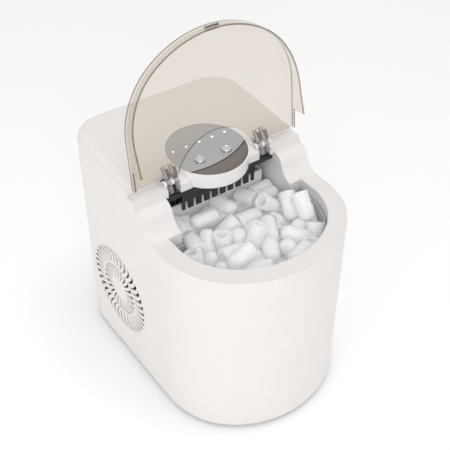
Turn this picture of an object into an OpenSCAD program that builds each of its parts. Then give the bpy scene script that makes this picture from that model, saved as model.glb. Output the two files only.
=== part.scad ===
// Countertop ice maker for bullet-shaped ice.
// X runs to the right of the machine, Y to its back and Z up. The origin is on the
// surface it stands on, under the middle of its outline. All sizes are in millimetres.

/* [Body] */
// Width of the cabinet
body_w = 225; // [205:1:270]
// Depth of the cabinet, from the nose to the back
body_d = 309; // [300:1:371]
// Height of the flat rim round the ice bin
rim_h = 237; // [225:1:285]
// Rise from the rim to the front edge of the rear deck
deck_rise = 45.3; // [42:0.1:55]
// Slope of the rear deck, in degrees
deck_tilt = 4; // [0:0.5:6]
// Depth of the bin part, from the nose to the front edge of the deck
bin_d = 168.1; // [160:0.1:180]
// Radius of the curve that leads from each side into the nose
side_r = 95; // [80:1:100]
// Angle at which the side curve hands over to the flatter nose
nose_angle = 35.7; // [25:0.1:45]
// Radius of the top edges of the deck
edge_r = 12; // [8:1:16]
// Radius of the upright rear corners
corner_r = 42; // [30:1:48]
// Wall of the outer shell
wall = 2.6; // [2:0.1:3.4]
// Thickness of the top cover
cover_t = 2.8; // [2:0.1:3.4]
// Height of the rubber feet below the base
foot_h = 4; // [3:0.5:8]

/* [Bin] */
// Width of the flat rim round the bin
rim_w = 21; // [18:0.5:26]
// Width of the throat between the two cheeks
throat_w = 149; // [140:1:156]
// Length of the throat
throat_l = 32; // [28:1:40]
// Wall of the bin liner
liner_t = 2.2; // [1.6:0.1:3]
// Height of the tank floor above the table
tank_z = 31; // [26:1:40]
// Height of the basket floor above the table
basket_z = 74; // [60:1:100]
// Wall of the ice basket
basket_t = 1.8; // [1.4:0.1:2.6]
// Clearance round the basket
basket_gap = 1.5; // [1:0.1:2.5]

/* [Console] */
// Radius of the round console
console_r = 48.5; // [44:0.5:50]
// Depth of the console drum below its face
console_h = 18; // [15:0.5:20]
// Distance from the deck's front edge back to the console's centre
console_back = 12.7; // [8:0.1:16]
// Radius of a push button
button_r = 5.6; // [4:0.1:7]
// Travel of a push button
button_travel = 0.8; // [0.5:0.1:1]
// Radius of an indicator lens
led_r = 1.5; // [1:0.1:2]
// Distance between neighbouring indicators
led_pitch = 17.6; // [14:0.1:20]

/* [Lid] */
// Distance that the lid stays in from the cabinet's outline
lid_inset = 4.6; // [3:0.1:8]
// Thickness of the lid
lid_t = 2.2; // [1.8:0.1:3]
// Length of the lid, from its rear edge to its nose
lid_l = 153.9; // [148:0.1:158]
// Least depth of the lid's skirt
skirt_d = 11.4; // [9:0.1:14]
// Backward lean of the open lid, in degrees
lid_lean = 6.1; // [4:0.1:12]
// Distance of each hinge from the middle
hinge_x = 61.5; // [60:0.5:63]
// Radius of a hinge pin
pin_r = 2; // [1.5:0.1:2.2]
// Radial clearance of a turning fit
run = 0.05; // [0.02:0.01:0.1]

/* [Air] */
// Radius of the swirl vent
vent_r = 60.5; // [54:0.5:62]
// Height of the vent's centre above the table
vent_z = 104.6; // [100:0.1:112]
// Blades in the outer ring of the vent
vent_slots = 36; // [24:1:40]
// Side of the square fan frame
fan_w = 98; // [88:1:99]
// Fan blades
fan_blades = 7; // [5:1:9]

/* [Works] */
// Radius of the compressor can
comp_r = 44; // [38:1:46]
// Height of the compressor can
comp_h = 122; // [100:1:126]
// Freezing fingers on the evaporator
fingers = 9; // [6:1:10]
// Radius of a freezing finger
finger_r = 4.5; // [3.5:0.1:5.5]
// Length of a freezing finger
finger_l = 27; // [22:1:30]

/* [Hidden] */
$fn = 64;
big = 800;

y_front = -body_d / 2;
y_rear = body_d / 2;
nose_r = side_r + (body_w / 2 - side_r) / sin(nose_angle);
nose_y = y_front + nose_r;
side_y = nose_y - (nose_r - side_r) * cos(nose_angle);

// levels of the top
deck_y = y_front + bin_d;
deck_z = rim_h + deck_rise;
ledge_z = deck_z - 9.8;
ledge_y = deck_y - 15.6;
shoulder_z = ledge_z - 7.5;
throat_y = ledge_y - throat_l;
function deck_at(y) = deck_z + (y - deck_y) * tan(deck_tilt);

// the S-curve of the cheeks: a round shoulder that runs into a hollow
shoulder_r = 16;
hollow_r = shoulder_z - rim_h - 6;
shoulder_c = [ledge_y, shoulder_z - shoulder_r];
hollow_cz = rim_h + hollow_r;
curve_gap = shoulder_r + hollow_r;
hollow_c = [ledge_y - sqrt(curve_gap * curve_gap - pow(hollow_cz - shoulder_c[1], 2)), hollow_cz];

// the base
base_z = foot_h;
base_t = 3;
skirt_z = base_z + 2;

// the hinge
pin_y = ledge_y + 6.1;
pin_z = ledge_z + 4.5;
lid_y = pin_y + 3.7;
lid_z = pin_z + 5.9;
arm_w = 4;
arm_gap = 5;
pocket_w = 2 * arm_w + arm_gap + 3;

// the ice chamber behind the bin
tank_back = ledge_y + 2;
chamber_floor = shoulder_z - 79;
chamber_back = tank_back + 84;
chamber_top = ledge_z - cover_t - 8.2;
tray_y = tank_back + 46;
tray_z = chamber_top - 26;

// the console
console_y = deck_y + console_back;
console_z = deck_at(console_y) + 0.4;
console_wall = 2.4;
face_sink = 0.8;
face_t = 2;
plate_r = console_r - 1.6;
board_z = -9;

vent_y = deck_y + 41;
fan_x = -body_w / 2 + wall + 4;
comp_x = body_w / 2 - wall - 14 - comp_r;
// the suction line runs behind the chamber and comes down on the compressor's top
line_y = chamber_back + liner_t + 5;
comp_y = line_y - 13.3;
comp_z = base_z + base_t + 14;

// openings in the back and the right side
gland_r = 7;
gland_x = -body_w / 2 + corner_r + 26;
gland_z = 34;
rear_screw_at = [for (x = (body_w / 2 - corner_r - 8) * [-1, 1], z = [30, rim_h + 20]) [x, z]];
head_t = 1.4;
drain_r = 8;
drain_flange_r = 12;
drain_y = side_y + 16;
drain_z = tank_z + drain_r + 4;
tub_side = body_w / 2 - rim_w + liner_t;

module at_console() {
    translate([0, console_y, console_z]) rotate([deck_tilt, 0, 0]) children();
}

// Points along an arc, from angle a to angle b in n steps
function arc(c, r, a, b, n) = [for (i = [0:n]) c + r * [cos(a + (b - a) * i / n), sin(a + (b - a) * i / n)]];

// The right half of the cabinet's outline, from nose to back, drawn in by d
function half_plan(d) = let (set_in = max(corner_r, d + 0.5)) concat(
    arc([0, nose_y], nose_r - d, -90, nose_angle - 90, 14),
    arc([body_w / 2 - side_r, side_y], side_r - d, nose_angle - 88, 0, 20),
    arc([body_w / 2 - set_in, y_rear - set_in], set_in - d, 0, 90, 14));

// The outline of the cabinet, drawn in by a distance d
module plan(d = 0) {
    half = half_plan(d);
    n = len(half);
    polygon(concat(half, [for (i = [n - 1:-1:1]) [-half[i][0], half[i][1]]]));
}

// The side view under the top surface, sunk by a distance t, in Y and Z
module side_view(t = 0) {
    slope = t / cos(deck_tilt);
    meet = atan2(hollow_c[1] - shoulder_c[1], hollow_c[0] - shoulder_c[0]);
    top_y = y_rear - edge_r;
    polygon(concat([[y_front - 1, 0], [y_front - 1, rim_h - t]],
        arc(hollow_c, hollow_r + t, -90, meet - 180, 12),
        arc(shoulder_c, shoulder_r - t, meet - 2, 92, 12),
        [[ledge_y + t, shoulder_z - t], [ledge_y + t, ledge_z - t],
        [deck_y + t, ledge_z - t], [deck_y + t, deck_at(deck_y + t) - slope]],
        arc([top_y, deck_at(top_y) - edge_r / cos(deck_tilt)], edge_r - t, 90 + deck_tilt, 0, 8),
        [[y_rear - t, 0]]));
}

module side_solid(t = 0, w = big) {
    translate([-w / 2, 0, 0]) rotate([90, 0, 90]) linear_extrude(w) side_view(t);
}

// A long bar along the deck that rounds its side edges
module deck_bar() {
    side = arc([body_w / 2 - edge_r, -edge_r], edge_r, 0, 90, 8);
    translate([0, deck_y, deck_z]) rotate([deck_tilt, 0, 0]) rotate([90, 0, 0])
        translate([0, 0, -big / 2]) linear_extrude(big)
        polygon(concat([[-body_w / 2, -big], [body_w / 2, -big]], side,
            [for (i = [8:-1:0]) [-side[i][0], side[i][1]]]));
}

// Rounds the top of the upright rear corners, and leaves the rest alone
module corner_caps() {
    start_z = deck_at(y_rear - edge_r) - edge_r;
    translate([-big / 2, y_rear - corner_r - big, 0]) cube(big);
    translate([corner_r - body_w / 2, -big / 2, 0]) cube([body_w - 2 * corner_r, big, big]);
    for (s = [-1, 1]) translate([s * (body_w / 2 - corner_r), y_rear - corner_r, 0])
        rotate_extrude($fn = 96) polygon(concat(
            [[0, 0], [corner_r + 5, 0], [corner_r + 5, start_z - 14]],
            arc([corner_r - edge_r, start_z], edge_r, 12, 84, 6), [[0, start_z + edge_r]]));
}

// The whole cabinet as one block, its outline drawn in by d and its top sunk by t
module block(d = 0, t = 0) {
    intersection() {
        linear_extrude(big) plan(d);
        side_solid(t);
        deck_bar();
        corner_caps();
    }
}

module outer_shell() color("whitesmoke") {
    difference() {
        block();
        translate([0, 0, -1]) linear_extrude(big) plan(wall);
        translate([-big / 2, y_rear - edge_r, -1]) cube(big);
        translate([-big / 2, -big / 2, -1]) cube([big, big, skirt_z + 1]);
        translate([-body_w / 2 - 1, vent_y, vent_z]) rotate([0, 90, 0])
            cylinder(r = vent_r, h = wall + 2, $fn = 96);
        translate([body_w / 2 - wall - 1, drain_y, drain_z]) rotate([0, 90, 0])
            cylinder(r = drain_flange_r + 0.4, h = wall + 2);
    }
}

module rear_panel() color("whitesmoke") {
    slot_w = 3;
    slots = 11;
    louvre_x = comp_x - 34;
    difference() {
        intersection() {
            block();
            translate([-big / 2, y_rear - edge_r, 0]) cube(big);
        }
        translate([0, 0, -1]) linear_extrude(big) plan(wall);
        translate([-big / 2, -big / 2, -1]) cube([big, big, skirt_z + 1]);
        for (i = [0:slots - 1]) translate([louvre_x, y_rear - wall - 1, 60 + i * 9])
            cube([body_w / 2 - corner_r - 2 - louvre_x, wall + 2, slot_w]);
        translate([gland_x, y_rear - wall - 1, gland_z]) rotate([-90, 0, 0])
            cylinder(r = gland_r, h = wall + 2);
        for (p = rear_screw_at) translate([p[0], y_rear - wall - 1, p[1]])
            rotate([-90, 0, 0]) cylinder(r = 1.6, h = wall + 2);
        for (p = rear_screw_at) translate([p[0], y_rear - head_t, p[1]])
            rotate([-90, 0, 0]) cylinder(r = 3.2, h = head_t + 1);
    }
    // pads that take the screws
    difference() {
        for (p = rear_screw_at) translate([p[0], y_rear - wall - 6, p[1]])
            rotate([-90, 0, 0]) cylinder(r = 5, h = 6 + wall - head_t);
        for (p = rear_screw_at) translate([p[0], y_rear - wall - 7, p[1]])
            rotate([-90, 0, 0]) cylinder(r = 1.6, h = 8 + wall);
    }
}

// The opening of the bin, seen from above and grown by g
module bin_plan(g = 0) {
    intersection() {
        plan(rim_w - g);
        translate([-body_w, y_front]) square([2 * body_w, throat_y - y_front + g]);
    }
    translate([-throat_w / 2 - g, throat_y - 1]) square([throat_w + 2 * g, ledge_y - throat_y + 1]);
}

// Sheet of the cover, with a rail under the rounded edges of the deck
module cover_sheet() {
    rail = 5;
    intersection() {
        linear_extrude(big) plan(wall);
        translate([-big / 2, 0, 0]) rotate([90, 0, 90]) linear_extrude(big) difference() {
            side_view(0);
            side_view(cover_t);
            translate([y_rear - wall - cover_t, 0]) square([edge_r, deck_z - edge_r]);
        }
        deck_bar();
        corner_caps();
    }
    intersection() {
        block(wall, 0);
        translate([0, deck_y + cover_t, deck_z]) rotate([deck_tilt, 0, 0])
            translate([-big / 2, 0, -10]) cube([big, big, 20]);
        linear_extrude(big) difference() {
            plan(wall);
            plan(wall + rail);
        }
    }
}

module top_cover() color("whitesmoke") {
    pins = pocket_w / 2 + 3;
    difference() {
        union() {
            cover_sheet();
            // sloping front of the console, down to the ledge
            translate([-hinge_x + pocket_w / 2, 0, 0]) rotate([90, 0, 90])
                linear_extrude(2 * hinge_x - pocket_w)
                polygon([[ledge_y, ledge_z - 1], [deck_y + 1, ledge_z - 1],
                    [deck_y + 1, deck_z - 0.5], [deck_y, deck_z - 0.5], [ledge_y, ledge_z]]);
            for (s = [-1, 1]) translate([s * hinge_x, 0, 0]) hinge_boss();
        }
        linear_extrude(ledge_z - cover_t - 1) bin_plan();
        at_console() translate([0, 0, -console_h - 20]) cylinder(r = console_r, h = 60, $fn = 96);
        for (s = [-1, 1]) translate([s * hinge_x, 0, 0]) hinge_pocket();
        hinge_bores(pin_r, hinge_x, pins);
    }
    // knuckle between the two arms of each hinge
    difference() {
        for (s = [-1, 1]) translate([s * hinge_x, 0, 0]) knuckle();
        hinge_bores(pin_r, hinge_x, pins);
    }
}

module hinge_boss() {
    w = 3;
    for (s = [-1, 1]) translate([s * (pocket_w / 2 + w / 2) - w / 2, 0, 0]) {
        translate([0, pin_y, pin_z]) rotate([0, 90, 0]) cylinder(r = 4, h = w);
        translate([0, pin_y - 4, ledge_z - 1]) cube([w, 8, pin_z - ledge_z + 1]);
    }
}

module hinge_pocket() {
    translate([-pocket_w / 2, ledge_y - 8, shoulder_z - 6]) cube([pocket_w, 20.5, 14]);
    translate([-pocket_w / 2, ledge_y - 8, ledge_z - 4]) cube([pocket_w, 8 + 15.6 + 3, 8]);
}

module knuckle() {
    w = arm_gap - 1;
    translate([-w / 2, pin_y, pin_z]) rotate([0, 90, 0]) cylinder(r = 3.4, h = w);
    translate([-w / 2, pin_y, pin_z - 3.4]) cube([w, deck_y + 1 - pin_y, 6.8]);
    translate([-w / 2, deck_y, pin_z - 3.4]) cube([w, 2, deck_z - cover_t - pin_z + 3.4]);
}

module hinge_bores(r, x, reach) {
    for (s = [-1, 1]) translate([s * x - reach, pin_y, pin_z]) rotate([0, 90, 0])
        cylinder(r = r, h = 2 * reach);
}

module hinge_pins() color("silver") {
    hinge_bores(pin_r, hinge_x, pocket_w / 2 + 3);
}

// Draws in the lid's own plane: X across, Y up the panel, Z towards the skirt
module at_lid() {
    translate([0, lid_y, lid_z]) rotate([90 - lid_lean, 0, 0]) children();
}

module lid_plan(d = 0) {
    nose = lid_l + y_front + lid_inset;
    mirror([0, 1, 0]) translate([0, -nose]) intersection() {
        plan(lid_inset + d);
        translate([-body_w, y_front - 1]) square([2 * body_w, lid_l + lid_inset + 1]);
    }
}

skirt_sweep = 432;
skirt_low = 125;
notch_s = 24;
notch_d = 6;
arch_r = 54;
arch_h = 34;
module lid() color([0.72, 0.66, 0.6, 0.5]) {
    difference() {
        at_lid() difference() {
            union() {
                linear_extrude(lid_t) lid_plan();
                difference() {
                    linear_extrude(34) difference() {
                        lid_plan();
                        lid_plan(2);
                    }
                    translate([-big / 2, skirt_low, skirt_d + skirt_sweep]) rotate([0, 90, 0])
                        cylinder(r = skirt_sweep, h = big, $fn = 256);
                    translate([-big / 2, -1, notch_d]) cube([big, notch_s + 1, big]);
                }
                // finger tab on the nose
                translate([-8.5, lid_l - 3, skirt_d - 3]) cube([17, 5, 2.4]);
            }
            translate([0, arch_h - arch_r, -1]) cylinder(r = arch_r, h = 60, $fn = 96);
            translate([-big / 2, -big, -1]) cube([big, big, 60]);
        }
        hinge_bores(pin_r + run, hinge_x, pocket_w);
    }
    difference() {
        for (s = [-1, 1], t = [-1, 1])
            translate([s * hinge_x + t * (arm_gap + arm_w) / 2 - arm_w / 2, 0, 0])
                rotate([90, 0, 90]) linear_extrude(arm_w) lid_arm();
        hinge_bores(pin_r + run, hinge_x, pocket_w);
    }
}

// One arm of a hinge, seen from the side, in Y and Z
module lid_arm() {
    translate([pin_y, pin_z]) circle(r = 4.4);
    polygon([[pin_y - 4.4, pin_z], [pin_y - 8.4, pin_z - 3], [pin_y - 8.4, pin_z - 7.5],
        [pin_y - 5.4, pin_z - 7.5], [pin_y - 2.6, pin_z - 3.6], [pin_y, pin_z],
        [pin_y + 4.4, pin_z], [lid_y + 1.4, lid_z + 1], [lid_y + 8, lid_z + 8.6],
        [lid_y + 6.4, lid_z + 9.4], [lid_y + 1, lid_z + 6],
        [lid_y + 1.8, lid_z + 14], [lid_y - 0.5, lid_z + 14], [pin_y - 2.6, lid_z + 4]]);
}

module base_tray() color("gainsboro") {
    difference() {
        translate([0, 0, base_z]) linear_extrude(16) plan(wall);
        translate([0, 0, base_z + base_t]) linear_extrude(20) plan(wall + 2.5);
        for (i = [0:7]) translate([-60 + i * 9, 70, base_z - 1]) cube([4, 50, base_t + 2]);
        for (p = foot_at) translate([p[0], p[1], base_z - 1]) cylinder(r = 1.6, h = base_t + 2);
    }
    // rim that closes the gap to the shell
    difference() {
        translate([0, 0, base_z]) linear_extrude(2) plan(0.6);
        translate([0, 0, base_z - 1]) linear_extrude(4) plan(wall);
    }
}

foot_r = 9;
foot_at = [for (sx = [-1, 1], y = [y_front + 62, y_rear - 24]) [sx * (body_w / 2 - 28), y]];
module feet() color("dimgray") {
    difference() {
        for (p = foot_at) translate([p[0], p[1], 0]) cylinder(r1 = foot_r - 1, r2 = foot_r, h = foot_h);
        for (p = foot_at) translate([p[0], p[1], -1]) {
            cylinder(r = 3.4, h = 3);
            cylinder(r = 1.6, h = foot_h + 2);
        }
    }
}

module base_screws() color("silver") {
    for (p = foot_at) translate([p[0], p[1], 0.6]) {
        cylinder(r = 3, h = 1.4);
        cylinder(r = 1.55, h = foot_h + base_t + 3);
    }
}

// Swirl vent: two rings of curved slots round a plain hub
module side_grille() color("whitesmoke") {
    mid = 0.6 * vent_r;
    hub = 0.27 * vent_r;
    translate([-body_w / 2, vent_y, vent_z]) rotate([0, 90, 0]) difference() {
        cylinder(r = vent_r, h = wall, $fn = 96);
        for (i = [0:vent_slots - 1]) rotate(i * 360 / vent_slots) slot(mid + 1.5, vent_r - 2.5);
        for (i = [0:vent_slots * 2 / 3 - 1]) rotate(i * 540 / vent_slots) slot(hub, mid - 1.5);
    }
}

// One slot between two radii. It sets off one way round the hub, bends back, and widens.
module slot(r1, r2) {
    set_off = 12.7;
    bend_back = 14.8;
    n = 6;
    function at(k, side) = let (t = k / n, r = r1 + (r2 - r1) * t,
        a = set_off * t - bend_back * t * t + side) [r * cos(a), r * sin(a)];
    open_a = 360 / vent_slots * (r1 < vent_r / 2 ? 0.42 : 0.29);
    translate([0, 0, -1]) linear_extrude(wall + 2)
        polygon(concat([for (k = [0:n]) at(k, -open_a * (0.5 + 0.5 * k / n))],
            [for (k = [n:-1:0]) at(k, open_a * (0.5 + 0.5 * k / n))]));
}

// The tank ends close behind the basket. A lip at the chamber's floor bridges the rest.
module bin_liner() color("gainsboro") {
    chamber_w = throat_w / 2;
    lip_y = basket_back + 2.5;
    difference() {
        union() {
            intersection() {
                difference() {
                    translate([0, 0, tank_z - liner_t]) linear_extrude(big) {
                        bin_plan(liner_t);
                        translate([-chamber_w - liner_t, ledge_y - 2])
                            square([2 * (chamber_w + liner_t), 4 + liner_t]);
                    }
                    translate([-big / 2, lip_y + liner_t, -1])
                        cube([big, big, chamber_floor - liner_t + 1]);
                }
                side_solid(cover_t);
                translate([-big / 2, -big / 2, 0]) cube([big, big, chamber_top]);
            }
            translate([-chamber_w - liner_t, ledge_y, chamber_floor - liner_t])
                cube([2 * (chamber_w + liner_t), chamber_back + liner_t - ledge_y,
                    chamber_top - chamber_floor + liner_t]);
        }
        difference() {
            translate([0, 0, tank_z]) linear_extrude(big) {
                bin_plan(0);
                translate([-chamber_w, ledge_y - 3]) square([2 * chamber_w, 5]);
            }
            translate([-big / 2, lip_y, 0]) cube([big, big, chamber_floor]);
        }
        translate([-chamber_w, ledge_y - 1, chamber_floor])
            cube([2 * chamber_w, chamber_back - ledge_y + 1, big]);
        translate([tub_side - 12, drain_y, drain_z]) rotate([0, 90, 0]) cylinder(r = drain_r, h = 30);
        for (s = [-1, 1]) translate([s * (chamber_w + 1), tray_y, tray_z])
            rotate([0, 90, 0]) cylinder(r = 3.2, h = 10, center = true);
        for (s = [-1, 1]) translate([s * (chamber_w + 1), shovel_y, shovel_z])
            rotate([0, 90, 0]) cylinder(r = pin_r, h = 10, center = true);
    }
}

module insulation() color("khaki") {
    thick = rim_w - liner_t - wall - 3;
    translate([0, 0, tank_z + 8]) difference() {
        linear_extrude(rim_h - cover_t - tank_z - 28) intersection() {
            plan(rim_w - liner_t - thick - 0.5);
            translate([-big / 2, y_front]) square([big, throat_y - y_front - 4]);
        }
        translate([0, 0, -1]) linear_extrude(big) plan(rim_w - liner_t - 0.5);
        translate([0, drain_y, drain_z - tank_z - 8]) rotate([0, 90, 0])
            cylinder(r = drain_flange_r + 2, h = body_w);
    }
}

// The basket stands on ribs of its own and lifts straight out
basket_back = console_y - console_r - 3;
module basket_plan(d) {
    intersection() {
        plan(rim_w + basket_gap + d);
        translate([-big / 2, y_front]) square([big, throat_y - 1 - basket_gap - d - y_front]);
    }
    translate([-throat_w / 2 + basket_gap + d, throat_y - 12])
        square([throat_w - 2 * (basket_gap + d), basket_back - d - throat_y + 12]);
}
basket_h = rim_h - 14 - basket_z;
module ice_basket() color("white") {
    translate([0, 0, basket_z]) difference() {
        linear_extrude(basket_h) basket_plan(0);
        translate([0, 0, basket_t]) linear_extrude(big) basket_plan(basket_t);
        for (i = [-6:6]) translate([i * 10 - 1.5, y_front + 56, -1]) cube([3, 56, basket_t + 2]);
        for (i = [-5:5]) translate([i * 11 - 2, basket_back - 5, 12]) cube([4, 8, 60]);
    }
}

module console_drum() color("white") {
    at_console() difference() {
        translate([0, 0, -console_h]) cylinder(r = console_r, h = console_h, $fn = 96);
        translate([0, 0, -face_sink - face_t]) cylinder(r = plate_r, h = 9, $fn = 96);
        translate([0, 0, -console_h + console_wall]) cylinder(r = console_r - console_wall - 2,
            h = console_h, $fn = 96);
    }
}

// The arc along which the plate meets the dark lens
lens_c = [-14, 83];
lens_arc = 110;
module face_disc(t) {
    translate([0, 0, -face_sink - face_t]) cylinder(r = plate_r - 0.1, h = t, $fn = 96);
}
module console_plate() color("silver") {
    at_console() difference() {
        intersection() {
            face_disc(face_t);
            translate([lens_c[0], lens_c[1], -5]) cylinder(r = lens_arc, h = 9, $fn = 160);
        }
        for (s = [-1, 1]) translate([s * button_x, button_y, -9])
            cylinder(r = button_r + 0.3, h = 20);
        for (x = led_at) translate([x, led_y, -9]) cylinder(r = led_r, h = 20);
    }
}
module console_lens() color("dimgray") {
    at_console() difference() {
        face_disc(face_t - 0.4);
        translate([lens_c[0], lens_c[1], -5]) cylinder(r = lens_arc + 0.1, h = 9, $fn = 160);
    }
}

button_x = 17.9;
button_y = -12.9;
button_foot = -6;
led_y = 15;
led_at = [for (i = [-2:2]) i * led_pitch];
module push_button(s) {
    at_console() translate([s * button_x, button_y, 0]) {
        translate([0, 0, button_foot + 1]) cylinder(r = button_r, h = 5.9);
        translate([0, 0, button_foot]) cylinder(r = button_r + 1.2, h = 1.2);
    }
}
module power_button() color("silver") push_button(1);
module select_button() color("silver") push_button(-1);

module led_lenses() color("white") {
    at_console() for (x = led_at) translate([x, led_y, -5]) cylinder(r = led_r, h = 4.4);
}

module control_board() color("darkgreen") {
    at_console() {
        translate([-36, -24, board_z]) cube([72, 46, 1.6]);
        for (s = [-1, 1]) translate([s * button_x, button_y, board_z + 1.6])
            cylinder(r = 1.8, h = button_foot - button_travel - 0.1 - board_z - 1.6);
        for (x = led_at) translate([x - 1.5, led_y - 1.5, board_z + 1.6]) cube([3, 3, 1.4]);
    }
}

// A row of fingers below a flattened tube
finger_pitch = 13;
finger_y = tray_y - 20;
evap_w = (fingers - 1) * finger_pitch + 16;
evap_z = tray_z + 12;
module evaporator() color("silver") {
    translate([-evap_w / 2, finger_y - 6, evap_z - 8]) cube([evap_w, 12, 8]);
    for (i = [0:fingers - 1]) translate([(i - (fingers - 1) / 2) * finger_pitch, finger_y, 0]) {
        translate([0, 0, evap_z - 8 - finger_l + finger_r])
            cylinder(r = finger_r, h = finger_l - finger_r);
        translate([0, 0, evap_z - 8 - finger_l + finger_r]) sphere(r = finger_r);
    }
}

tray_w = throat_w - 14;
tray_l = 32;
tray_d = 32;
module water_tray() color("aliceblue") {
    difference() {
        translate([-tray_w / 2, tray_y - tray_l - 4, tray_z - tray_d]) cube([tray_w, tray_l, tray_d]);
        translate([-tray_w / 2 + 2, tray_y - tray_l - 2, tray_z - tray_d + 2])
            cube([tray_w - 4, tray_l - 4, tray_d]);
    }
    for (s = [-1, 1]) translate([s * (tray_w / 2 - 1) - 1, 0, 0]) difference() {
        union() {
            translate([0, tray_y, tray_z]) rotate([0, 90, 0]) cylinder(r = 6, h = 2);
            translate([0, tray_y - 5, tray_z - 10]) cube([2, 6, 10]);
        }
        translate([-1, tray_y, tray_z]) rotate([0, 90, 0]) cylinder(r = 2.5, h = 4);
    }
    // stub shafts that turn in the liner's walls
    for (s = [-1, 1]) translate([s * (throat_w / 2 + liner_t / 2 - 3.5), tray_y, tray_z])
        rotate([0, 90, 0]) cylinder(r = 3.2 - run, h = 11 , center = true);
}

module tray_motor() color("gray") {
    x = throat_w / 2 + liner_t + 4;
    translate([x, tray_y - 14, tray_z - 16]) cube([14, 28, 40]);
    for (z = [-13, 21]) translate([x - 4, tray_y, tray_z + z]) rotate([0, 90, 0])
        cylinder(r = 2.5, h = 4);
}

// A comb that hangs in front of the tray and rakes the ice into the basket
shovel_y = ledge_y + 5;
shovel_z = chamber_top - 5;
shovel_w = 100;
module ice_shovel() color("white") {
    difference() {
        union() {
            translate([-shovel_w / 2, shovel_y - 1, shovel_z - 24]) cube([shovel_w, 2, 22]);
            translate([-throat_w / 2 + 1, shovel_y, shovel_z]) rotate([0, 90, 0])
                cylinder(r = 3.6, h = throat_w - 2);
        }
        for (i = [-4:4]) translate([i * 11 - 2, shovel_y - 3, shovel_z - 25]) cube([4, 6, 13]);
        translate([-throat_w / 2, shovel_y, shovel_z]) rotate([0, 90, 0])
            cylinder(r = pin_r + run, h = throat_w);
    }
}
module shovel_pins() color("silver") {
    for (s = [-1, 1]) translate([s * (throat_w / 2 - 2), shovel_y, shovel_z])
        rotate([0, 90, 0]) cylinder(r = pin_r, h = 12, center = true);
}

module ice_sensor() color("dimgray") {
    for (s = [-1, 1]) translate([s * (throat_w / 2 + liner_t + 2.5) - 2.5, throat_y + 12, rim_h - 20])
        cube([5, 8, 10]);
}

module compressor() color("dimgray") {
    translate([comp_x, comp_y, comp_z]) {
        difference() {
            union() {
                cylinder(r = comp_r, h = comp_h - 12);
                translate([0, 0, comp_h - 12]) intersection() {
                    sphere(r = comp_r);
                    translate([-comp_r, -comp_r, 0]) cube([2 * comp_r, 2 * comp_r, 12]);
                }
                for (a = [45:90:315]) rotate(a) translate([comp_r - 4, -8, 0]) cube([14, 16, 3]);
            }
            translate([0, 0, 6]) cylinder(r = comp_r - 5, h = comp_h - 24);
            for (a = [45:90:315]) rotate(a) translate([comp_r + 5, 0, -1]) cylinder(r = 2.5, h = 5);
        }
    }
}
module compressor_grommets() color("black") {
    for (a = [45:90:315]) translate([comp_x, comp_y, base_z + base_t]) rotate(a)
        translate([comp_r + 5, 0, 0]) difference() {
            cylinder(r = 6, h = comp_z - base_z - base_t);
            translate([0, 0, -1]) cylinder(r = 2, h = 30);
        }
}

cond_x = fan_x + 38;
module condenser() color("silver") {
    h = fan_w - 6;
    for (z = [0:2]) translate([cond_x, vent_y - fan_w / 2 + 3, vent_z - h / 2 + z * (h - 2) / 2])
        cube([20, fan_w - 6, 2]);
    for (i = [0:15]) translate([cond_x, vent_y - fan_w / 2 + 3 + i * (fan_w - 7) / 15,
        vent_z - h / 2]) cube([20, 1, h]);
    for (z = [-30, 0, 30]) translate([cond_x + 10, vent_y - fan_w / 2 - 1, vent_z + z + 9])
        rotate([-90, 0, 0]) cylinder(r = 3, h = fan_w + 2);
}

rotor_r = fan_w / 2 - 4;
module fan_frame() color("dimgray") {
    translate([fan_x, vent_y, vent_z]) difference() {
        translate([0, -fan_w / 2, -fan_w / 2]) cube([24, fan_w, fan_w]);
        translate([-1, 0, 0]) rotate([0, 90, 0]) cylinder(r = rotor_r + 1.5, h = 21, $fn = 96);
        for (a = [0:90:270]) rotate([a, 0, 0]) translate([10, 0, 0]) rotate([0, 90, 0])
            linear_extrude(20) intersection() {
                difference() {
                    circle(r = rotor_r + 1.5, $fn = 96);
                    circle(r = 18);
                }
                translate([3, 3]) square(60);
            }
    }
}
module fan_motor() color("black") {
    translate([fan_x, vent_y, vent_z]) rotate([0, 90, 0]) {
        translate([0, 0, 12]) cylinder(r = 14, h = 8);
        translate([0, 0, 1]) cylinder(r = 2, h = 12);
    }
}
module fan_rotor() color("black") {
    translate([fan_x, vent_y, vent_z]) rotate([0, 90, 0]) difference() {
        union() {
            translate([0, 0, 2]) cylinder(r = 16, h = 9);
            for (i = [0:fan_blades - 1]) rotate(i * 360 / fan_blades) translate([13, 0, 6.5])
                rotate([34, 0, 0]) translate([0, -9, -0.8]) cube([rotor_r - 15, 18, 1.6]);
        }
        cylinder(r = 2 + run, h = 30);
    }
}

pump_at = [-20, tank_back + 32, base_z + base_t];
module water_pump() color("midnightblue") {
    translate(pump_at) {
        cylinder(r = 16, h = 30);
        translate([0, 0, 30]) cylinder(r = 12, h = 8);
        translate([0, 0, 38]) cylinder(r = 3.5, h = 8);
    }
}
module water_hose() color("white") {
    translate([pump_at[0], pump_at[1], pump_at[2] + 46]) cylinder(r = 4, h = 60);
    translate([pump_at[0], pump_at[1], pump_at[2] + 106]) sphere(r = 4);
    translate([pump_at[0], pump_at[1], pump_at[2] + 106]) cylinder(r = 4,
        h = chamber_floor - liner_t - pump_at[2] - 106);
}

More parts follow.
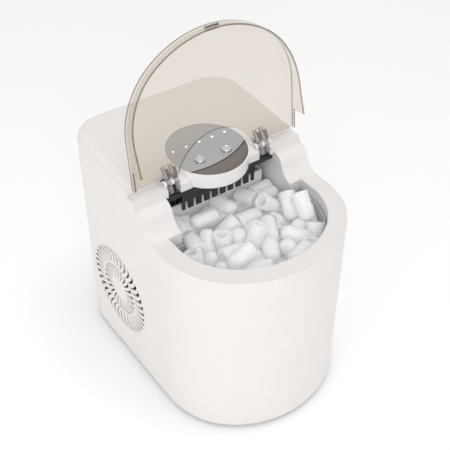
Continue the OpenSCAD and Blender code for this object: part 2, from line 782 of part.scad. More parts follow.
// Tube from the evaporator down to the compressor
module suction_line() color("peru") {
    translate([comp_x, line_y, comp_z + comp_h]) cylinder(r = 3, h = 66);
    translate([comp_x, line_y, comp_z + comp_h + 66]) sphere(r = 3);
    translate([comp_x - 60, line_y, comp_z + comp_h + 66]) rotate([0, 90, 0]) cylinder(r = 3, h = 60);
}
module filter_drier() color("peru") {
    translate([comp_x - comp_r - 22, y_rear - wall - 24, 40]) {
        cylinder(r = 8, h = 60);
        translate([0, 0, 60]) cylinder(r1 = 8, r2 = 2.5, h = 8);
        translate([0, 0, -8]) cylinder(r1 = 2.5, r2 = 8, h = 8);
        translate([0, 0, 68]) cylinder(r = 2.5, h = 12);
    }
}

module power_board() color("darkgreen") {
    y = y_rear - wall - 22;
    translate([-body_w / 2 + 20, y, rim_h - 70]) cube([80, 1.6, 74]);
    translate([-body_w / 2 + 26, y - 16, rim_h - 60]) cube([24, 16, 28]);
    translate([-body_w / 2 + 60, y - 12, rim_h - 58]) cube([18, 12, 16]);
    translate([-body_w / 2 + 34, y - 11, rim_h - 16]) rotate([-90, 0, 0]) cylinder(r = 7, h = 11);
}

module rear_screws() color("silver") {
    for (p = rear_screw_at) translate([p[0], y_rear, p[1]]) rotate([90, 0, 0]) {
        translate([0, 0, 0.3]) cylinder(r = 1.55, h = wall + 10);
        translate([0, 0, 0.3]) cylinder(r = 3, h = head_t - 0.3);
    }
}

module drain_spout() color("white") {
    translate([tub_side, drain_y, drain_z]) rotate([0, 90, 0]) difference() {
        cylinder(r = drain_r + 2.5, h = body_w / 2 - wall - 4 - tub_side);
        translate([0, 0, -1]) cylinder(r = drain_r, h = 40);
    }
}
module drain_cap() color("gainsboro") {
    translate([body_w / 2, drain_y, drain_z]) rotate([0, -90, 0]) {
        cylinder(r = drain_flange_r, h = 4);
        translate([0, 0, 3]) cylinder(r = drain_r - run, h = rim_w - 3);
    }
}

module cord_gland() color("dimgray") {
    translate([gland_x, y_rear, gland_z]) rotate([90, 0, 0]) difference() {
        union() {
            cylinder(r = gland_r, h = wall + 6);
            translate([0, 0, wall]) cylinder(r = gland_r + 2, h = 3);
        }
        translate([0, 0, -1]) cylinder(r = 3.6, h = 30);
    }
}

outer_shell();
rear_panel();
top_cover();
base_tray();
feet();
base_screws();
side_grille();
bin_liner();
insulation();
ice_basket();
lid();
hinge_pins();
console_drum();
console_plate();
console_lens();
power_button();
select_button();
led_lenses();
control_board();
evaporator();
water_tray();
tray_motor();
ice_shovel();
shovel_pins();
ice_sensor();
compressor();
compressor_grommets();
condenser();
fan_frame();
fan_motor();
fan_rotor();
water_pump();
water_hose();
suction_line();
filter_drier();
power_board();
rear_screws();
drain_spout();
drain_cap();
cord_gland();
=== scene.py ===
# %% [markdown]
# This file dresses a countertop ice maker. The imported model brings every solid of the
# machine as a fixed frame, in metres, so nothing has to be fitted by eye. What is left to
# Blender is what a solid modeller is poor at: the heap of ice, the bright rings of the
# buttons, and the way each plastic and metal takes the light.

# %% Load the frame
import math

import bmesh
import bpy
import numpy as np
from mathutils import Matrix, Vector


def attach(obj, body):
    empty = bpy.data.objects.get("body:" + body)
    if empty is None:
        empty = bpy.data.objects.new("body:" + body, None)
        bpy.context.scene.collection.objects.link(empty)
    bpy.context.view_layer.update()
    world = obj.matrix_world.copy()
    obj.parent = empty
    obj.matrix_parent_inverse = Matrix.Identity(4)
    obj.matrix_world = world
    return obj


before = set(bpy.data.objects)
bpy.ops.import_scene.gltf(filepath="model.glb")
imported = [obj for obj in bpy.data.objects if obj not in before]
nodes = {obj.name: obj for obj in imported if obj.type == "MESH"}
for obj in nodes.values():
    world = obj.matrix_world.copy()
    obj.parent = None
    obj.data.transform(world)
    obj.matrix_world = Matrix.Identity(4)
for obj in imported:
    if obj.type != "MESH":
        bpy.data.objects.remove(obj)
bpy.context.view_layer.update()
MM = 0.001

# %% [markdown]
# The camera stands high on the machine's left, in front, and looks down at forty degrees.
# Its place and turn are given as plain numbers. It comes first because every later choice,
# such as how many sides a bullet of ice needs, depends on how near the camera is.

# %% Camera
camera_data = bpy.data.cameras.new("camera")
camera_data.lens = 66.438
camera_data.sensor_width = 36.0
camera_data.clip_start = 0.01
camera = bpy.data.objects.new("camera", camera_data)
bpy.context.scene.collection.objects.link(camera)
camera.location = (-0.43216, -0.60990, 0.81839)
camera.rotation_euler = [math.radians(a) for a in (49.8892, -0.1965, -35.5816)]
bpy.context.scene.camera = camera
print("camera at", tuple(camera.location))

# %% [markdown]
# The light is that of a white studio tent: an even pale sky, a broad soft lamp in front,
# one overhead for the ice and a weak one on the machine's left. Small lamps would give hard
# shadows, and a sky alone would leave the curved nose flat, so both are used together.

# %% Sky and lamps
MACHINE_MIDDLE = (0.0, 0.0, 0.15)


def soft_lamp(name, place, size, power):
    """A round lamp at a place, aimed at the middle of the machine."""
    data = bpy.data.lights.new(name, "AREA")
    data.shape = "DISK"
    data.size = size
    data.energy = power
    lamp = bpy.data.objects.new(name, data)
    bpy.context.scene.collection.objects.link(lamp)
    lamp.location = place
    toward = Vector(MACHINE_MIDDLE) - Vector(place)
    lamp.rotation_euler = toward.to_track_quat("-Z", "Y").to_euler()


sky = bpy.data.worlds.new("studio_sky")
bpy.context.scene.world = sky
sky.use_nodes = True
sky_light = sky.node_tree.nodes["Background"]
sky_light.inputs["Color"].default_value = (1.0, 0.995, 0.99, 1.0)
sky_light.inputs["Strength"].default_value = 0.80
soft_lamp("key_lamp", (-0.9, -1.5, 1.0), size=0.9, power=7.0)
soft_lamp("top_lamp", (0.2, -0.2, 1.9), size=0.8, power=5.5)
soft_lamp("side_lamp", (-1.7, -0.5, 0.5), size=0.9, power=3.0)
bpy.context.scene.view_settings.view_transform = "Standard"
print("lamps:", len(bpy.data.lights))

# %% [markdown]
# The floor is a plain pale sheet, far larger than the machine, so that no edge of it shows.

# %% Floor
HALF_FLOOR = 6.0
BELOW_FEET = 0.0002
floor_mesh = bpy.data.meshes.new("floor")
sheet = bmesh.new()
bmesh.ops.create_grid(sheet, x_segments=1, y_segments=1, size=HALF_FLOOR)
sheet.to_mesh(floor_mesh)
sheet.free()
floor = bpy.data.objects.new("floor", floor_mesh)
bpy.context.scene.collection.objects.link(floor)
floor.location.z = -BELOW_FEET
floor_finish = bpy.data.materials.new("pale_floor")
floor_finish.use_nodes = True
floor_shader = floor_finish.node_tree.nodes["Principled BSDF"]
floor_shader.inputs["Base Color"].default_value = (1.0, 1.0, 1.0, 1.0)
floor_shader.inputs["Roughness"].default_value = 0.9
floor_mesh.materials.append(floor_finish)
print("floor laid")

# %% [markdown]
# Moulded plastic is never one flat colour. Its tone drifts slowly from place to place, the
# mould leaves a fine leather-like grain, and the grain makes the gloss vary. All three
# come from noise on Object coordinates, which stay put on the piece when a joint moves.
# A Bevel node rounds the look of the corners, as a moulded corner is never knife sharp.

# %% Helper for every opaque finish
TONE_SCALE = 28.0
GLOSS_SPREAD = 0.06


def paint(name, colour, rough=0.42, grain=0.8, depth=0.02, drift=0.01, metal=0.0,
          stretch=(1.0, 1.0, 1.0), corner=0.4, coat=0.0, scatter=0.0):
    """An opaque finish. grain, depth and corner are in millimetres."""
    made = bpy.data.materials.new(name)
    made.use_nodes = True
    tree = made.node_tree
    shader = tree.nodes["Principled BSDF"]
    shader.inputs["Metallic"].default_value = metal
    shader.inputs["Coat Weight"].default_value = coat
    if scatter:
        shader.inputs["Subsurface Weight"].default_value = scatter
        shader.inputs["Subsurface Radius"].default_value = (0.004, 0.004, 0.004)
        shader.inputs["Subsurface Scale"].default_value = 1.0
    place = tree.nodes.new("ShaderNodeTexCoord").outputs["Object"]
    drawn = tree.nodes.new("ShaderNodeMapping")
    drawn.inputs["Scale"].default_value = stretch
    tree.links.new(place, drawn.inputs["Vector"])

    slow = tree.nodes.new("ShaderNodeTexNoise")
    slow.inputs["Scale"].default_value = TONE_SCALE
    slow.inputs["Detail"].default_value = 3.0
    tree.links.new(place, slow.inputs["Vector"])
    tone = tree.nodes.new("ShaderNodeValToRGB")
    tone.color_ramp.elements[0].position = 0.3
    tone.color_ramp.elements[1].position = 0.7
    tone.color_ramp.elements[0].color = (*[c * (1.0 - drift) for c in colour], 1.0)
    tone.color_ramp.elements[1].color = (*[min(1.0, c * (1.0 + drift)) for c in colour], 1.0)
    tree.links.new(slow.outputs["Fac"], tone.inputs["Fac"])
    tree.links.new(tone.outputs["Color"], shader.inputs["Base Color"])

    fine = tree.nodes.new("ShaderNodeTexNoise")
    fine.inputs["Scale"].default_value = 1.0 / (grain * MM)
    fine.inputs["Detail"].default_value = 2.0
    tree.links.new(drawn.outputs["Vector"], fine.inputs["Vector"])
    gloss = tree.nodes.new("ShaderNodeMapRange")
    gloss.inputs["To Min"].default_value = max(0.03, rough - GLOSS_SPREAD)
    gloss.inputs["To Max"].default_value = min(1.0, rough + GLOSS_SPREAD)
    tree.links.new(fine.outputs["Fac"], gloss.inputs["Value"])
    tree.links.new(gloss.outputs["Result"], shader.inputs["Roughness"])
    bump = tree.nodes.new("ShaderNodeBump")
    bump.inputs["Distance"].default_value = depth * MM
    bump.inputs["Strength"].default_value = 0.6
    tree.links.new(fine.outputs["Fac"], bump.inputs["Height"])
    if corner:
        soft = tree.nodes.new("ShaderNodeBevel")
        soft.samples = 4
        soft.inputs["Radius"].default_value = corner * MM
        tree.links.new(soft.outputs["Normal"], bump.inputs["Normal"])
    tree.links.new(bump.outputs["Normal"], shader.inputs["Normal"])
    return made


print("paint() is ready")

# %% [markdown]
# Clear plastic could be made with a shader that bends light. In a wall two millimetres thick
# the bend can't be seen, and it fills small parts such as the hinge arms with sparkle. So
# light goes straight through a tinted layer here, and a mirror layer on top of it grows
# towards grazing angles, as it does on real acrylic. Lamp light passes too, tinted.

# %% Helper for every clear finish
FACE_SHINE, GRAZING_SHINE, GRAZING_POWER = 0.025, 0.35, 4.0


def clear(name, tint, rough=0.03, haze=0.0, milk=(0.8, 0.8, 0.8)):
    """A clear finish. tint is what one surface lets through, haze the share that scatters."""
    made = bpy.data.materials.new(name)
    made.use_nodes = True
    tree = made.node_tree
    tree.nodes.remove(tree.nodes["Principled BSDF"])
    place = tree.nodes.new("ShaderNodeTexCoord").outputs["Object"]
    cloud = tree.nodes.new("ShaderNodeTexNoise")
    cloud.inputs["Scale"].default_value = 40.0
    tree.links.new(place, cloud.inputs["Vector"])
    tone = tree.nodes.new("ShaderNodeValToRGB")
    tone.name = "tint"
    tone.color_ramp.elements[0].color = (*[c * 0.985 for c in tint], 1.0)
    tone.color_ramp.elements[1].color = (*tint, 1.0)
    tree.links.new(cloud.outputs["Fac"], tone.inputs["Fac"])
    through = tree.nodes.new("ShaderNodeBsdfTransparent")
    through.name = "through"
    tree.links.new(tone.outputs["Color"], through.inputs["Color"])
    cloudy = tree.nodes.new("ShaderNodeBsdfDiffuse")
    cloudy.inputs["Color"].default_value = (*milk, 1.0)
    body = tree.nodes.new("ShaderNodeMixShader")
    body.name = "body"
    body.inputs["Fac"].default_value = haze
    tree.links.new(through.outputs["BSDF"], body.inputs[1])
    tree.links.new(cloudy.outputs["BSDF"], body.inputs[2])
    mirror = tree.nodes.new("ShaderNodeBsdfGlossy")
    mirror.inputs["Roughness"].default_value = rough
    rim = tree.nodes.new("ShaderNodeLayerWeight")
    grazing = tree.nodes.new("ShaderNodeMath")
    grazing.operation = "POWER"
    grazing.inputs[1].default_value = GRAZING_POWER
    tree.links.new(rim.outputs["Facing"], grazing.inputs[0])
    amount = tree.nodes.new("ShaderNodeMapRange")
    amount.inputs["To Min"].default_value = FACE_SHINE
    amount.inputs["To Max"].default_value = GRAZING_SHINE
    tree.links.new(grazing.outputs["Value"], amount.inputs["Value"])
    skin = tree.nodes.new("ShaderNodeMixShader")
    tree.links.new(amount.outputs["Result"], skin.inputs["Fac"])
    tree.links.new(body.outputs["Shader"], skin.inputs[1])
    tree.links.new(mirror.outputs["BSDF"], skin.inputs[2])
    tree.links.new(skin.outputs["Shader"], tree.nodes["Material Output"].inputs["Surface"])
    return made


print("clear() is ready")

# %% [markdown]
# The cabinet is warm white satin plastic. The top cover is a separate moulding of the same
# plastic, a shade cooler, which is why the parting line shows. The drum of the console is
# glossier and whiter than both.

# %% Finishes of the white and grey plastics
shell_white = paint("shell_white", (0.765, 0.741, 0.724), rough=0.38, scatter=0.05)
cover_white = paint("cover_white", (0.765, 0.744, 0.735), rough=0.36, scatter=0.05)
drum_white = paint("drum_white", (0.84, 0.83, 0.815), rough=0.24, grain=1.4, depth=0.008)
base_grey = paint("base_grey", (0.62, 0.61, 0.60), rough=0.5)
liner_grey = paint("liner_grey", (0.74, 0.73, 0.725), rough=0.35, grain=1.5)
works_white = paint("works_white", (0.78, 0.78, 0.77), rough=0.4, grain=1.2)
black_plastic = paint("black_plastic", (0.018, 0.018, 0.020), rough=0.45, grain=0.6)
compressor_black = paint("compressor_black", (0.014, 0.014, 0.016), rough=0.28, grain=2.2,
                         depth=0.05, coat=0.3)
rubber_grey = paint("rubber_grey", (0.055, 0.055, 0.058), rough=0.75, grain=0.5, depth=0.04)
print("plastics:", [m.name for m in bpy.data.materials])

# %% [markdown]
# Metals differ mostly in how they were worked. The face plate is satin, with fine brush
# lines from side to side, so its noise is squeezed along one axis. Nickel plate is smooth,
# drawn copper has a faint grain and patches where it has browned.

# %% Finishes of the metals
plate_silver = paint("plate_silver", (0.50, 0.50, 0.505), rough=0.34, grain=0.35, depth=0.006,
                     metal=0.85, stretch=(0.06, 1.0, 1.0), corner=0.25)
button_silver = paint("button_silver", (0.70, 0.70, 0.71), rough=0.20, grain=0.5, depth=0.004,
                      metal=0.9, corner=0.3)
steel = paint("steel", (0.58, 0.58, 0.59), rough=0.25, grain=0.6, depth=0.01, metal=1.0)
nickel = paint("nickel", (0.66, 0.64, 0.60), rough=0.18, grain=2.0, depth=0.01, metal=1.0)
copper = paint("copper", (0.72, 0.36, 0.21), rough=0.30, grain=0.9, drift=0.12, metal=1.0)
fin_aluminium = paint("fin_aluminium", (0.70, 0.71, 0.72), rough=0.35, grain=0.7, metal=1.0)
print("metals made")

# %% [markdown]
# Four finishes are special to one kind of piece: the brown lens of the console, the green
# lacquer of the circuit boards, the pores of the foam round the bin and the lit indicators.
# The lens is painted near black where it meets the plate. This is painted shade for the shadow
# that the raised edge of the plate casts into the gap. The distance from the centre of that
# arc picks out the band.

# %% Lens, board, foam and indicator finishes
lens_dark = paint("lens_dark", (0.150, 0.128, 0.112), rough=0.16, grain=3.0, depth=0.002,
                  corner=0.2, coat=0.3)
board_green = paint("board_green", (0.010, 0.085, 0.035), rough=0.33, grain=1.6, drift=0.25)
foam = paint("foam", (0.72, 0.66, 0.45), rough=0.85, grain=1.1, depth=0.25, drift=0.08)
CONSOLE_AT = (0.0, 0.0263, 0.2836)
CONSOLE_TILT = math.radians(4)
BAND_CENTRE = (-0.014, CONSOLE_AT[1] + 0.083, CONSOLE_AT[2] + 0.0058)
BAND_RADIUS = 0.1116
MIX_SHARE, MIX_FIRST, MIX_SECOND, MIX_RESULT = 0, 6, 7, 2
gap_tree = lens_dark.node_tree
gap_map = gap_tree.nodes.new("ShaderNodeMapping")
gap_map.vector_type = "TEXTURE"
gap_map.inputs["Location"].default_value = BAND_CENTRE
gap_map.inputs["Rotation"].default_value = (CONSOLE_TILT, 0.0, 0.0)
gap_tree.links.new(gap_tree.nodes.new("ShaderNodeTexCoord").outputs["Object"],
                   gap_map.inputs["Vector"])
gap_far = gap_tree.nodes.new("ShaderNodeVectorMath")
gap_far.operation = "LENGTH"
gap_tree.links.new(gap_map.outputs["Vector"], gap_far.inputs[0])
in_shaded_band = gap_tree.nodes.new("ShaderNodeMath")
in_shaded_band.operation = "LESS_THAN"
in_shaded_band.inputs[1].default_value = BAND_RADIUS
gap_tree.links.new(gap_far.outputs["Value"], in_shaded_band.inputs[0])
# painted shade: inside the arc the lens turns near black, for the shadow of the plate's edge in
# the gap
painted_gap_shade = gap_tree.nodes.new("ShaderNodeMix")
painted_gap_shade.data_type = "RGBA"
painted_gap_shade.inputs[MIX_SECOND].default_value = (0.008, 0.007, 0.007, 1.0)
gap_shader = gap_tree.nodes["Principled BSDF"]
plain_tone = gap_shader.inputs["Base Color"].links[0].from_socket
gap_tree.links.new(in_shaded_band.outputs["Value"], painted_gap_shade.inputs[MIX_SHARE])
gap_tree.links.new(plain_tone, painted_gap_shade.inputs[MIX_FIRST])
gap_tree.links.new(painted_gap_shade.outputs[MIX_RESULT], gap_shader.inputs["Base Color"])
led_white = paint("led_white", (0.92, 0.93, 0.95), rough=0.25, grain=1.0, depth=0.004)
glow = led_white.node_tree.nodes["Principled BSDF"]
glow.inputs["Emission Color"].default_value = (1.0, 1.0, 1.0, 1.0)
glow.inputs["Emission Strength"].default_value = 0.5
print("special finishes made")

# %% [markdown]
# The lid is smoke-tinted and quite clear, so the deck shows through it. The basket and the
# drain hose are clouded instead: their plastic scatters some of the light on its way.

# %% Finishes of the clear plastics
lid_smoke = clear("lid_smoke", (0.930, 0.905, 0.868), rough=0.02, milk=(0.88, 0.86, 0.86))
basket_clear = clear("basket_clear", (0.93, 0.94, 0.95), rough=0.12, haze=0.45)
hose_clear = clear("hose_clear", (0.93, 0.94, 0.93), rough=0.12, haze=0.4)
print("clear finishes made")

# %% [markdown]
# Seen edge-on, tinted plastic looks much darker than seen through its face, because light
# has a long way through it. The edges of the lid's panel and skirt are found from where
# a point is in the lid's own plane: its height over the panel, and which way it faces.
# The hinge arms lie below the panel's foot. They are cooler in tint and a little clouded.

# %% Dark edges and cool hinge arms of the lid
LID_LEAN = math.radians(6.1)
LID_UP = Vector((0.0, math.sin(LID_LEAN), math.cos(LID_LEAN)))
LID_FRONT = Vector((0.0, -math.cos(LID_LEAN), math.sin(LID_LEAN)))
LID_FOOT = Vector((0.0, 0.0078, 0.2829))
PANEL_FACE, SKIRT_LIP = 0.0021, 0.0031
PANEL_HAZE, ARM_HAZE = 0.05, 0.10
lid_tree = lid_smoke.node_tree
where_lid = lid_tree.nodes.new("ShaderNodeTexCoord").outputs["Object"]
facing = lid_tree.nodes.new("ShaderNodeTexCoord").outputs["Normal"]


def lid_dot(vector, along, less=0.0):
    dot = lid_tree.nodes.new("ShaderNodeVectorMath")
    dot.operation = "DOT_PRODUCT"
    lid_tree.links.new(vector, dot.inputs[0])
    dot.inputs[1].default_value = along
    return lid_math("SUBTRACT", dot.outputs["Value"], less)


def lid_math(operation, first, second=0.0):
    node = lid_tree.nodes.new("ShaderNodeMath")
    node.operation = operation
    for socket, value in ((node.inputs[0], first), (node.inputs[1], second)):
        if isinstance(value, float):
            socket.default_value = value
        else:
            lid_tree.links.new(value, socket)
    return node.outputs[0]


over_panel = lid_dot(where_lid, LID_FRONT, LID_FOOT.dot(LID_FRONT))
up_panel = lid_dot(where_lid, LID_UP, LID_FOOT.dot(LID_UP))
faces_front = lid_math("ABSOLUTE", lid_dot(facing, LID_FRONT))
rim_wall = lid_math("MULTIPLY", lid_math("LESS_THAN", faces_front, 0.5),
                    lid_math("LESS_THAN", over_panel, PANEL_FACE))
skirt_lip = lid_math("MULTIPLY", lid_math("GREATER_THAN", faces_front, 0.5),
                     lid_math("GREATER_THAN", over_panel, SKIRT_LIP))
is_edge = lid_math("MULTIPLY", lid_math("MAXIMUM", rim_wall, skirt_lip),
                   lid_math("GREATER_THAN", up_panel, 0.0))
is_arm = lid_math("LESS_THAN", up_panel, 0.0)
mixed = lid_tree.nodes["tint"].outputs["Color"]
for mask, colour in ((is_edge, (0.38, 0.345, 0.35)), (is_arm, (0.92, 0.905, 0.95))):
    blend_in = lid_tree.nodes.new("ShaderNodeMix")
    blend_in.data_type = "RGBA"
    lid_tree.links.new(mask, blend_in.inputs[MIX_SHARE])
    lid_tree.links.new(mixed, blend_in.inputs[MIX_FIRST])
    blend_in.inputs[MIX_SECOND].default_value = (*colour, 1.0)
    mixed = blend_in.outputs[MIX_RESULT]
lid_tree.links.new(mixed, lid_tree.nodes["through"].inputs["Color"])
haze_share = lid_math("ADD", lid_math("MULTIPLY", is_arm, ARM_HAZE), PANEL_HAZE)
lid_tree.links.new(haze_share, lid_tree.nodes["body"].inputs["Fac"])
print("lid edges shaded")

# %% [markdown]
# Each solid now gets its finish. The material slots that came with the model are only flat
# colours, so every slot of a solid is handed the finish made for it here.

# %% Dress the solids
FINISH_OF = {
    shell_white: ["outer_shell", "rear_panel", "side_grille", "drain_cap"],
    cover_white: ["top_cover"],
    drum_white: ["console_drum"],
    base_grey: ["base_tray", "drain_spout"],
    liner_grey: ["bin_liner"],
    works_white: ["water_tray"],
    # painted shade: the ice shovel takes the black finish for the shadow that falls under the
    # drum
    black_plastic: ["fan_frame", "fan_motor", "fan_rotor", "tray_motor", "water_pump",
                    "ice_sensor", "ice_shovel", "cord_gland"],
    compressor_black: ["compressor"],
    rubber_grey: ["feet", "compressor_grommets"],
    plate_silver: ["console_plate"],
    button_silver: ["power_button", "select_button"],
    steel: ["hinge_pins", "shovel_pins", "rear_screws", "base_screws"],
    nickel: ["evaporator"],
    copper: ["suction_line", "filter_drier"],
    fin_aluminium: ["condenser"],
    lens_dark: ["console_lens"],
    board_green: ["control_board", "power_board"],
    foam: ["insulation"],
    led_white: ["led_lenses"],
    lid_smoke: ["lid"],
    basket_clear: ["ice_basket"],
    hose_clear: ["water_hose"],
}
dressed = set()
for finish, names in FINISH_OF.items():
    for name in names:
        piece = nodes[name]
        if not piece.material_slots:
            piece.data.materials.append(finish)
        for one_slot in piece.material_slots:
            one_slot.material = finish
        dressed.add(name)
print("left undressed:", sorted(set(nodes) - dressed))

# %% [markdown]
# The machine freezes ice on metal fingers, so each piece is a thimble: round at one end,
# open and hollow at the other. A profile spun round an axis gives exactly that shape. It
# runs down the outside, over the lip and back up the hole.

# %% Shape of one bullet of ice
ICE_R = 9.6
ICE_SIDES = 14


def ice_bullet(length, hole, flare):
    """A hollow bullet in millimetres, along Z, with its middle at the origin."""
    low, high = -length / 2, length / 2
    r = ICE_R
    profile = [(0.0, high), (r * 0.66, high - r * 0.16), (r * 0.96, high - r * 0.62),
               (r * flare, low), (hole, low), (hole * 0.72, low + length * 0.55),
               (0.0, low + length * 0.66)]
    made = bmesh.new()
    points = [made.verts.new((x, 0.0, z)) for x, z in profile]
    edges = [made.edges.new(pair) for pair in zip(points, points[1:])]
    bmesh.ops.spin(made, geom=points + edges, axis=(0, 0, 1), cent=(0, 0, 0), steps=ICE_SIDES,
                   angle=2 * math.pi, use_merge=True)
    bmesh.ops.remove_doubles(made, verts=made.verts, dist=0.01)
    bmesh.ops.recalc_face_normals(made, faces=made.faces)
    for edge in made.edges:
        edge.smooth = not all(abs(vert.co.z - low) < 0.01 for vert in edge.verts)
    return made


sample = ice_bullet(32.0, 6.0, 1.02)
print("faces of one bullet:", len(sample.faces))
sample.free()

# %% [markdown]
# The heap has to look dropped, not placed. Blender's rigid bodies could do it, but a small
# solver is quicker and gives the same heap every time: each bullet is a rod with round
# ends, and rods are let down a little, then pushed out of each other and off the walls,
# over and over. The walls are those of the basket and the bin, in millimetres: an outline
# of arcs for the nose and the sides, drawn in by the thickness of rim and basket, then the
# throat between the cheeks, and the lip behind the basket where the comb drops the ice.

# %% Room for the ice
NOSE_R, NOSE_Y = 125.0, -29.5
SIDE_R, SIDE_X, SIDE_Y = 95.0, 17.5, -53.9
HALF_W, HANDOVER = 112.5, math.radians(-54.3)
BIN_INSET, FLOOR_Z = 24.6, 76.5
BACK_Y, SHOVEL_Y, BASKET_TOP = -27.2, -14.0, 224.0
THROAT_Y, THROAT_HALF, LIP_HALF, OPEN_SKY = -34.0, 72.5, 72.0, 400.0
LIP_Y, LIP_Z, TRAY_Y, COMB_Z = -22.4, 186.2, 8.8, 230.5


def keep_inside(p, r, on_lip):
    """Moves ends of rods, one per row, to the nearest place in the bin or on the lip."""
    x, side = np.abs(p[:, 0]), np.where(p[:, 0] < 0, -1.0, 1.0)
    vx, vy = x - SIDE_X, p[:, 1] - SIDE_Y
    turn = np.arctan2(vy, vx)
    on_nose, on_side = turn < HANDOVER, (turn >= HANDOVER) & (vy < 0) & (vx > 0)
    reach = np.hypot(vx, vy)
    room = SIDE_R - BIN_INSET - r
    pull = np.where(on_side & (reach > room), room / np.maximum(reach, 1e-6), 1.0)
    x, y = SIDE_X + vx * pull, SIDE_Y + vy * pull
    ny = y - NOSE_Y
    reach, room = np.hypot(x, ny), NOSE_R - BIN_INSET - r
    pull = np.where(on_nose & (reach > room), room / np.maximum(reach, 1e-6), 1.0)
    x, y = x * pull, NOSE_Y + ny * pull
    x = np.minimum(x, HALF_W - BIN_INSET - r)
    x = np.where(y > THROAT_Y - r, np.minimum(x, THROAT_HALF - r), x)
    back = np.where(p[:, 2] > BASKET_TOP + r, SHOVEL_Y, BACK_Y) - r
    lip_y = np.clip(p[:, 1], LIP_Y + r, TRAY_Y - r)
    p[:, 0] = np.where(on_lip, np.minimum(np.abs(p[:, 0]), LIP_HALF - r), x) * side
    p[:, 1] = np.where(on_lip, lip_y, np.minimum(y, back))
    low = np.where(on_lip, LIP_Z, FLOOR_Z) + r
    high = np.where(on_lip, COMB_Z - r, OPEN_SKY)
    p[:, 2] = np.clip(p[:, 2], low, high)


print("bin walls ready")

# %% Let the ice down
HEAP_SEED = 11
PER_LAYER, LAYER_RISE = 22, 22.0
FAST_FALL, SLOW_FALL, FAST_PART = 1.6, 0.3, 0.8
NEAR_BY, PUSH_SHARE, TURN_SHARE = 80.0, 0.42, 0.65


def nearest_on_rods(a, b, c, d):
    """Shares along rods a-b and c-d, one pair per row, where they pass closest."""
    u, v, w = b - a, d - c, a - c
    uu, uv, vv = (u * u).sum(1), (u * v).sum(1), (v * v).sum(1)
    uw, vw = (u * w).sum(1), (v * w).sum(1)
    flat = np.maximum(uu * vv - uv * uv, 1e-9)
    s = np.clip((uv * vw - vv * uw) / flat, 0, 1)
    t = np.clip((vw + s * uv) / vv, 0, 1)
    s = np.clip((t * uv - uw) / uu, 0, 1)
    return s, t


def settle(count, lip_count, steps):
    """Ends of rods in millimetres once at rest. The first lip_count lie behind the basket."""
    draw = np.random.default_rng(HEAP_SEED)
    lengths = draw.uniform(11.0, 15.0, count)
    on_lip = np.arange(count) < lip_count
    layer = np.arange(count) // PER_LAYER
    middle = np.stack([draw.uniform(-75, 75, count), draw.uniform(-118, -40, count),
                       FLOOR_Z + 14 + layer * LAYER_RISE], 1)
    middle[on_lip, 1] = -8.0
    middle[on_lip, 2] = draw.uniform(200, 225, lip_count)
    aim = draw.normal(size=(count, 3))
    aim /= np.linalg.norm(aim, axis=1)[:, None]
    a, b = middle - aim * lengths[:, None] / 2, middle + aim * lengths[:, None] / 2
    i, j = np.triu_indices(count, 1)
    for step in range(steps):
        fall = FAST_FALL if step < steps * FAST_PART else SLOW_FALL
        a[:, 2] -= fall
        b[:, 2] -= fall
        for _ in range(3):
            near = np.abs(a[i] + b[i] - a[j] - b[j]).max(1) < NEAR_BY
            m, n = i[near], j[near]
            s, t = nearest_on_rods(a[m], b[m], a[n], b[n])
            gap = (a[m] + (b[m] - a[m]) * s[:, None]) - (a[n] + (b[n] - a[n]) * t[:, None])
            far = np.maximum(np.linalg.norm(gap, axis=1), 1e-6)
            deep = 2 * ICE_R - far
            hit = deep > 0
            m, n, s, t = m[hit], n[hit], s[hit], t[hit]
            push = gap[hit] / far[hit][:, None] * (deep[hit] * PUSH_SHARE)[:, None]
            for ends, who, share, way in ((a, m, 1 - s, 1), (b, m, s, 1),
                                          (a, n, 1 - t, -1), (b, n, t, -1)):
                moved = (1 - TURN_SHARE) + TURN_SHARE * share
                np.add.at(ends, who, way * push * moved[:, None])
            keep_inside(a, ICE_R, on_lip)
            keep_inside(b, ICE_R, on_lip)
            middle, aim = (a + b) / 2, b - a
            # a rod pressed to nothing lies down along X instead of dividing by zero
            aim[:, 0] += 1e-6
            aim /= np.linalg.norm(aim, axis=1)[:, None]
            a, b = (middle - aim * lengths[:, None] / 2), (middle + aim * lengths[:, None] / 2)
    return a, b, draw


ICE_COUNT, LIP_COUNT = 254, 17
ice_a, ice_b, draw = settle(ICE_COUNT, LIP_COUNT, 280)
print("heap from", round(float(ice_a[:, 2].min())), "to", round(float(ice_a[:, 2].max())), "mm")

# %% [markdown]
# One mesh holds the ice in the basket, because it moves as one load when the basket is
# lifted, and a second one the ice that waits on the lip behind it. A few kinds of bullet
# are spun, and each rod of the heap takes one of them, turned to lie along the rod.

# %% Fill the bin
kinds = [ice_bullet(length, hole, flare) for length, hole, flare in
         ((31.0, 6.0, 1.02), (34.0, 6.4, 1.05), (29.5, 6.9, 1.0), (32.5, 5.4, 1.07))]
kind_meshes = []
for number, kind in enumerate(kinds):
    mesh = bpy.data.meshes.new("bullet_kind_%d" % number)
    kind.to_mesh(mesh)
    kind.free()
    kind_meshes.append(mesh)


def pour(name, starts, ends, body):
    """One mesh of bullets laid along the rods, which rides a body."""
    heap = bmesh.new()
    for one_a, one_b in zip(starts, ends):
        along = Vector(one_b - one_a)
        if draw.random() < 0.5:
            along.negate()
        turned = along.to_track_quat("Z", "X").to_matrix().to_4x4()
        spot = Vector((one_a + one_b) / 2) * MM
        first = len(heap.verts)
        heap.from_mesh(kind_meshes[int(draw.integers(len(kind_meshes)))])
        heap.verts.ensure_lookup_table()
        bmesh.ops.transform(heap, matrix=Matrix.Translation(spot) @ turned @ Matrix.Scale(MM, 4),
                            verts=heap.verts[first:])
    for face in heap.faces:
        face.smooth = True
    mesh = bpy.data.meshes.new(name)
    heap.to_mesh(mesh)
    heap.free()
    pile = bpy.data.objects.new(name, mesh)
    bpy.context.scene.collection.objects.link(pile)
    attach(pile, body)
    print(name, "has", len(starts), "bullets and", len(mesh.polygons), "faces")
    return mesh


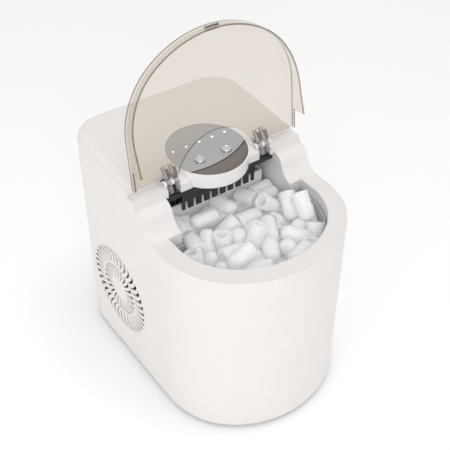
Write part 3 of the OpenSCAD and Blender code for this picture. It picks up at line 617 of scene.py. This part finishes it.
ice_meshes = [pour("ice_pile", ice_a[LIP_COUNT:], ice_b[LIP_COUNT:], "basket"),
              pour("ice_on_lip", ice_a[:LIP_COUNT], ice_b[:LIP_COUNT], "cabinet")]
for mesh in kind_meshes:
    bpy.data.meshes.remove(mesh)

# %% [markdown]
# Ice made quickly is cloudy with trapped air inside and wet outside. So light partly passes
# through and partly scatters, and a smooth water film gives small sharp highlights. One
# noise drives the tone, the gloss and the dents, so that they change in the same places.

# %% Finish of the ice
ice_finish = bpy.data.materials.new("cloudy_ice")
ice_finish.use_nodes = True
ice_tree = ice_finish.node_tree
ice_shader = ice_tree.nodes["Principled BSDF"]
ice_shader.inputs["IOR"].default_value = 1.31
ice_shader.inputs["Transmission Weight"].default_value = 0.30
ice_shader.inputs["Subsurface Weight"].default_value = 0.75
ice_shader.inputs["Subsurface Radius"].default_value = (0.012, 0.012, 0.012)
ice_shader.inputs["Subsurface Scale"].default_value = 1.0
# painted light: a faint white glow makes the ice brighter, though ice gives off no light of its
# own
ice_shader.inputs["Emission Color"].default_value = (0.96, 0.97, 1.0, 1.0)
ice_shader.inputs["Emission Strength"].default_value = 0.06
ice_place = ice_tree.nodes.new("ShaderNodeTexCoord").outputs["Object"]
cloud = ice_tree.nodes.new("ShaderNodeTexNoise")
cloud.inputs["Scale"].default_value = 90.0
cloud.inputs["Detail"].default_value = 4.0
ice_tree.links.new(ice_place, cloud.inputs["Vector"])
ice_tone = ice_tree.nodes.new("ShaderNodeValToRGB")
ice_tone.color_ramp.elements[0].position = 0.35
ice_tone.color_ramp.elements[1].position = 0.65
ice_tone.color_ramp.elements[0].color = (0.92, 0.925, 0.94, 1.0)
ice_tone.color_ramp.elements[1].color = (1.0, 1.0, 1.0, 1.0)
ice_tree.links.new(cloud.outputs["Fac"], ice_tone.inputs["Fac"])
ice_tree.links.new(ice_tone.outputs["Color"], ice_shader.inputs["Base Color"])
ice_gloss = ice_tree.nodes.new("ShaderNodeMapRange")
ice_gloss.inputs["To Min"].default_value = 0.08
ice_gloss.inputs["To Max"].default_value = 0.32
ice_tree.links.new(cloud.outputs["Fac"], ice_gloss.inputs["Value"])
ice_tree.links.new(ice_gloss.outputs["Result"], ice_shader.inputs["Roughness"])
ice_bump = ice_tree.nodes.new("ShaderNodeBump")
ice_bump.inputs["Distance"].default_value = 0.0006
ice_tree.links.new(cloud.outputs["Fac"], ice_bump.inputs["Height"])
ice_tree.links.new(ice_bump.outputs["Normal"], ice_shader.inputs["Normal"])
for mesh in ice_meshes:
    mesh.materials.append(ice_finish)
print("ice dressed")

# %% [markdown]
# Each push button has a polished bead round its edge. A small ring of vertices spun round
# the button's own axis makes it, and it rides on the button, so it goes down with it.

# %% Polished beads of the buttons
CONSOLE = Matrix.Translation(CONSOLE_AT) @ Matrix.Rotation(CONSOLE_TILT, 4, "X")
BEAD_R, RING_R = 0.85 * MM, 4.7 * MM
BUTTON_X, BUTTON_Y, BEAD_Z = 0.0179, -0.0129, 0.00095


def button_bead(name, x, body):
    """A polished ring round the button at x, which rides on the button's body."""
    bead = bmesh.new()
    section = bmesh.ops.create_circle(bead, segments=10, radius=BEAD_R,
                                      matrix=Matrix.Translation((RING_R, 0, 0))
                                      @ Matrix.Rotation(math.pi / 2, 4, "X"))
    geometry = section["verts"] + bead.edges[:]
    bmesh.ops.spin(bead, geom=geometry, axis=(0, 0, 1), cent=(0, 0, 0), steps=48,
                   angle=2 * math.pi, use_merge=True)
    bmesh.ops.remove_doubles(bead, verts=bead.verts, dist=1e-6)
    bmesh.ops.recalc_face_normals(bead, faces=bead.faces)
    put = CONSOLE @ Matrix.Translation((x, BUTTON_Y, BEAD_Z))
    bmesh.ops.transform(bead, matrix=put, verts=bead.verts)
    for face in bead.faces:
        face.smooth = True
    mesh = bpy.data.meshes.new(name)
    bead.to_mesh(mesh)
    bead.free()
    ring = bpy.data.objects.new(name, mesh)
    bpy.context.scene.collection.objects.link(ring)
    mesh.materials.append(button_silver)
    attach(ring, body)
    print(name, len(mesh.polygons), "faces")


button_bead("power_bead", BUTTON_X, "power_button")
button_bead("select_bead", -BUTTON_X, "select_button")
